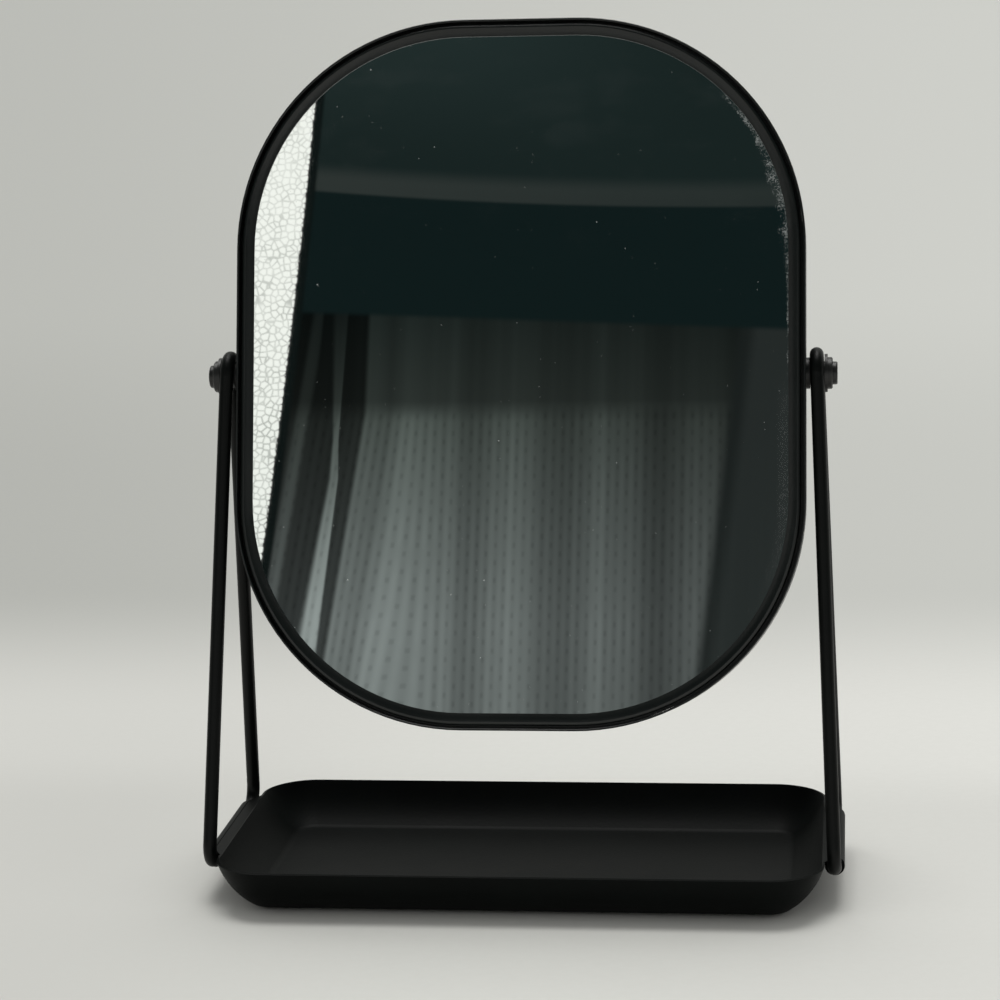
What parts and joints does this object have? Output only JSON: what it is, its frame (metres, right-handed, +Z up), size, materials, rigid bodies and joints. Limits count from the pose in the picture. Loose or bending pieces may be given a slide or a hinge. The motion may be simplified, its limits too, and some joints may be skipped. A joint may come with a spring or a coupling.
{
  "type": "tabletop mirror",
  "caption": "Tabletop swivel mirror with a rounded framed glass hung between bent-wire side frames over a shallow pressed metal tray.",
  "frame": {"origin": "on the table, under the middle of the tray", "axes": "+X to the user's right along the pivot axis, the mirror faces -Y, +Z up"},
  "size_m": [0.2342, 0.1256, 0.3162],
  "materials": {
    "wire_paint": "satin black powder coat",
    "tray_paint": "matt black powder coat",
    "head_paint": "satin black powder coat",
    "black_hardware": "satin black",
    "mirror_glass": "polished silvered glass",
    "hardboard": "plain fibreboard",
    "foam": "closed-cell foam",
    "washer_plastic": "black nylon",
    "pad_rubber": "matt black rubber"
  },
  "bodies": {
    "stand": {"wire_frame_left": "wire_paint", "wire_frame_right": "wire_paint", "tray": "tray_paint", "tray_pad_front_left": "pad_rubber", "tray_pad_front_right": "pad_rubber", "tray_pad_rear_left": "pad_rubber", "tray_pad_rear_right": "pad_rubber", "pivot_bush_left": "black_hardware", "pivot_bush_right": "black_hardware"},
    "mirror_head": {"mirror_hoop": "head_paint", "front_bezel": "head_paint", "mirror_glass": "mirror_glass", "backing_board": "hardboard", "back_cover": "head_paint", "foam_pad_lower": "foam", "foam_pad_upper": "foam", "pivot_boss_left": "black_hardware", "pivot_boss_right": "black_hardware", "friction_washer_left": "washer_plastic", "friction_washer_right": "washer_plastic", "outer_washer_left": "black_hardware", "outer_washer_right": "black_hardware", "pivot_screw_left": "black_hardware", "pivot_screw_right": "black_hardware"}
  },
  "joints": [
    {"name": "mirror_tilt", "type": "hinge", "parent": "stand", "child": "mirror_head", "pos_m": [0, 0, 0.1885], "axis": [1, 0, 0], "continuous": true}
  ]
}
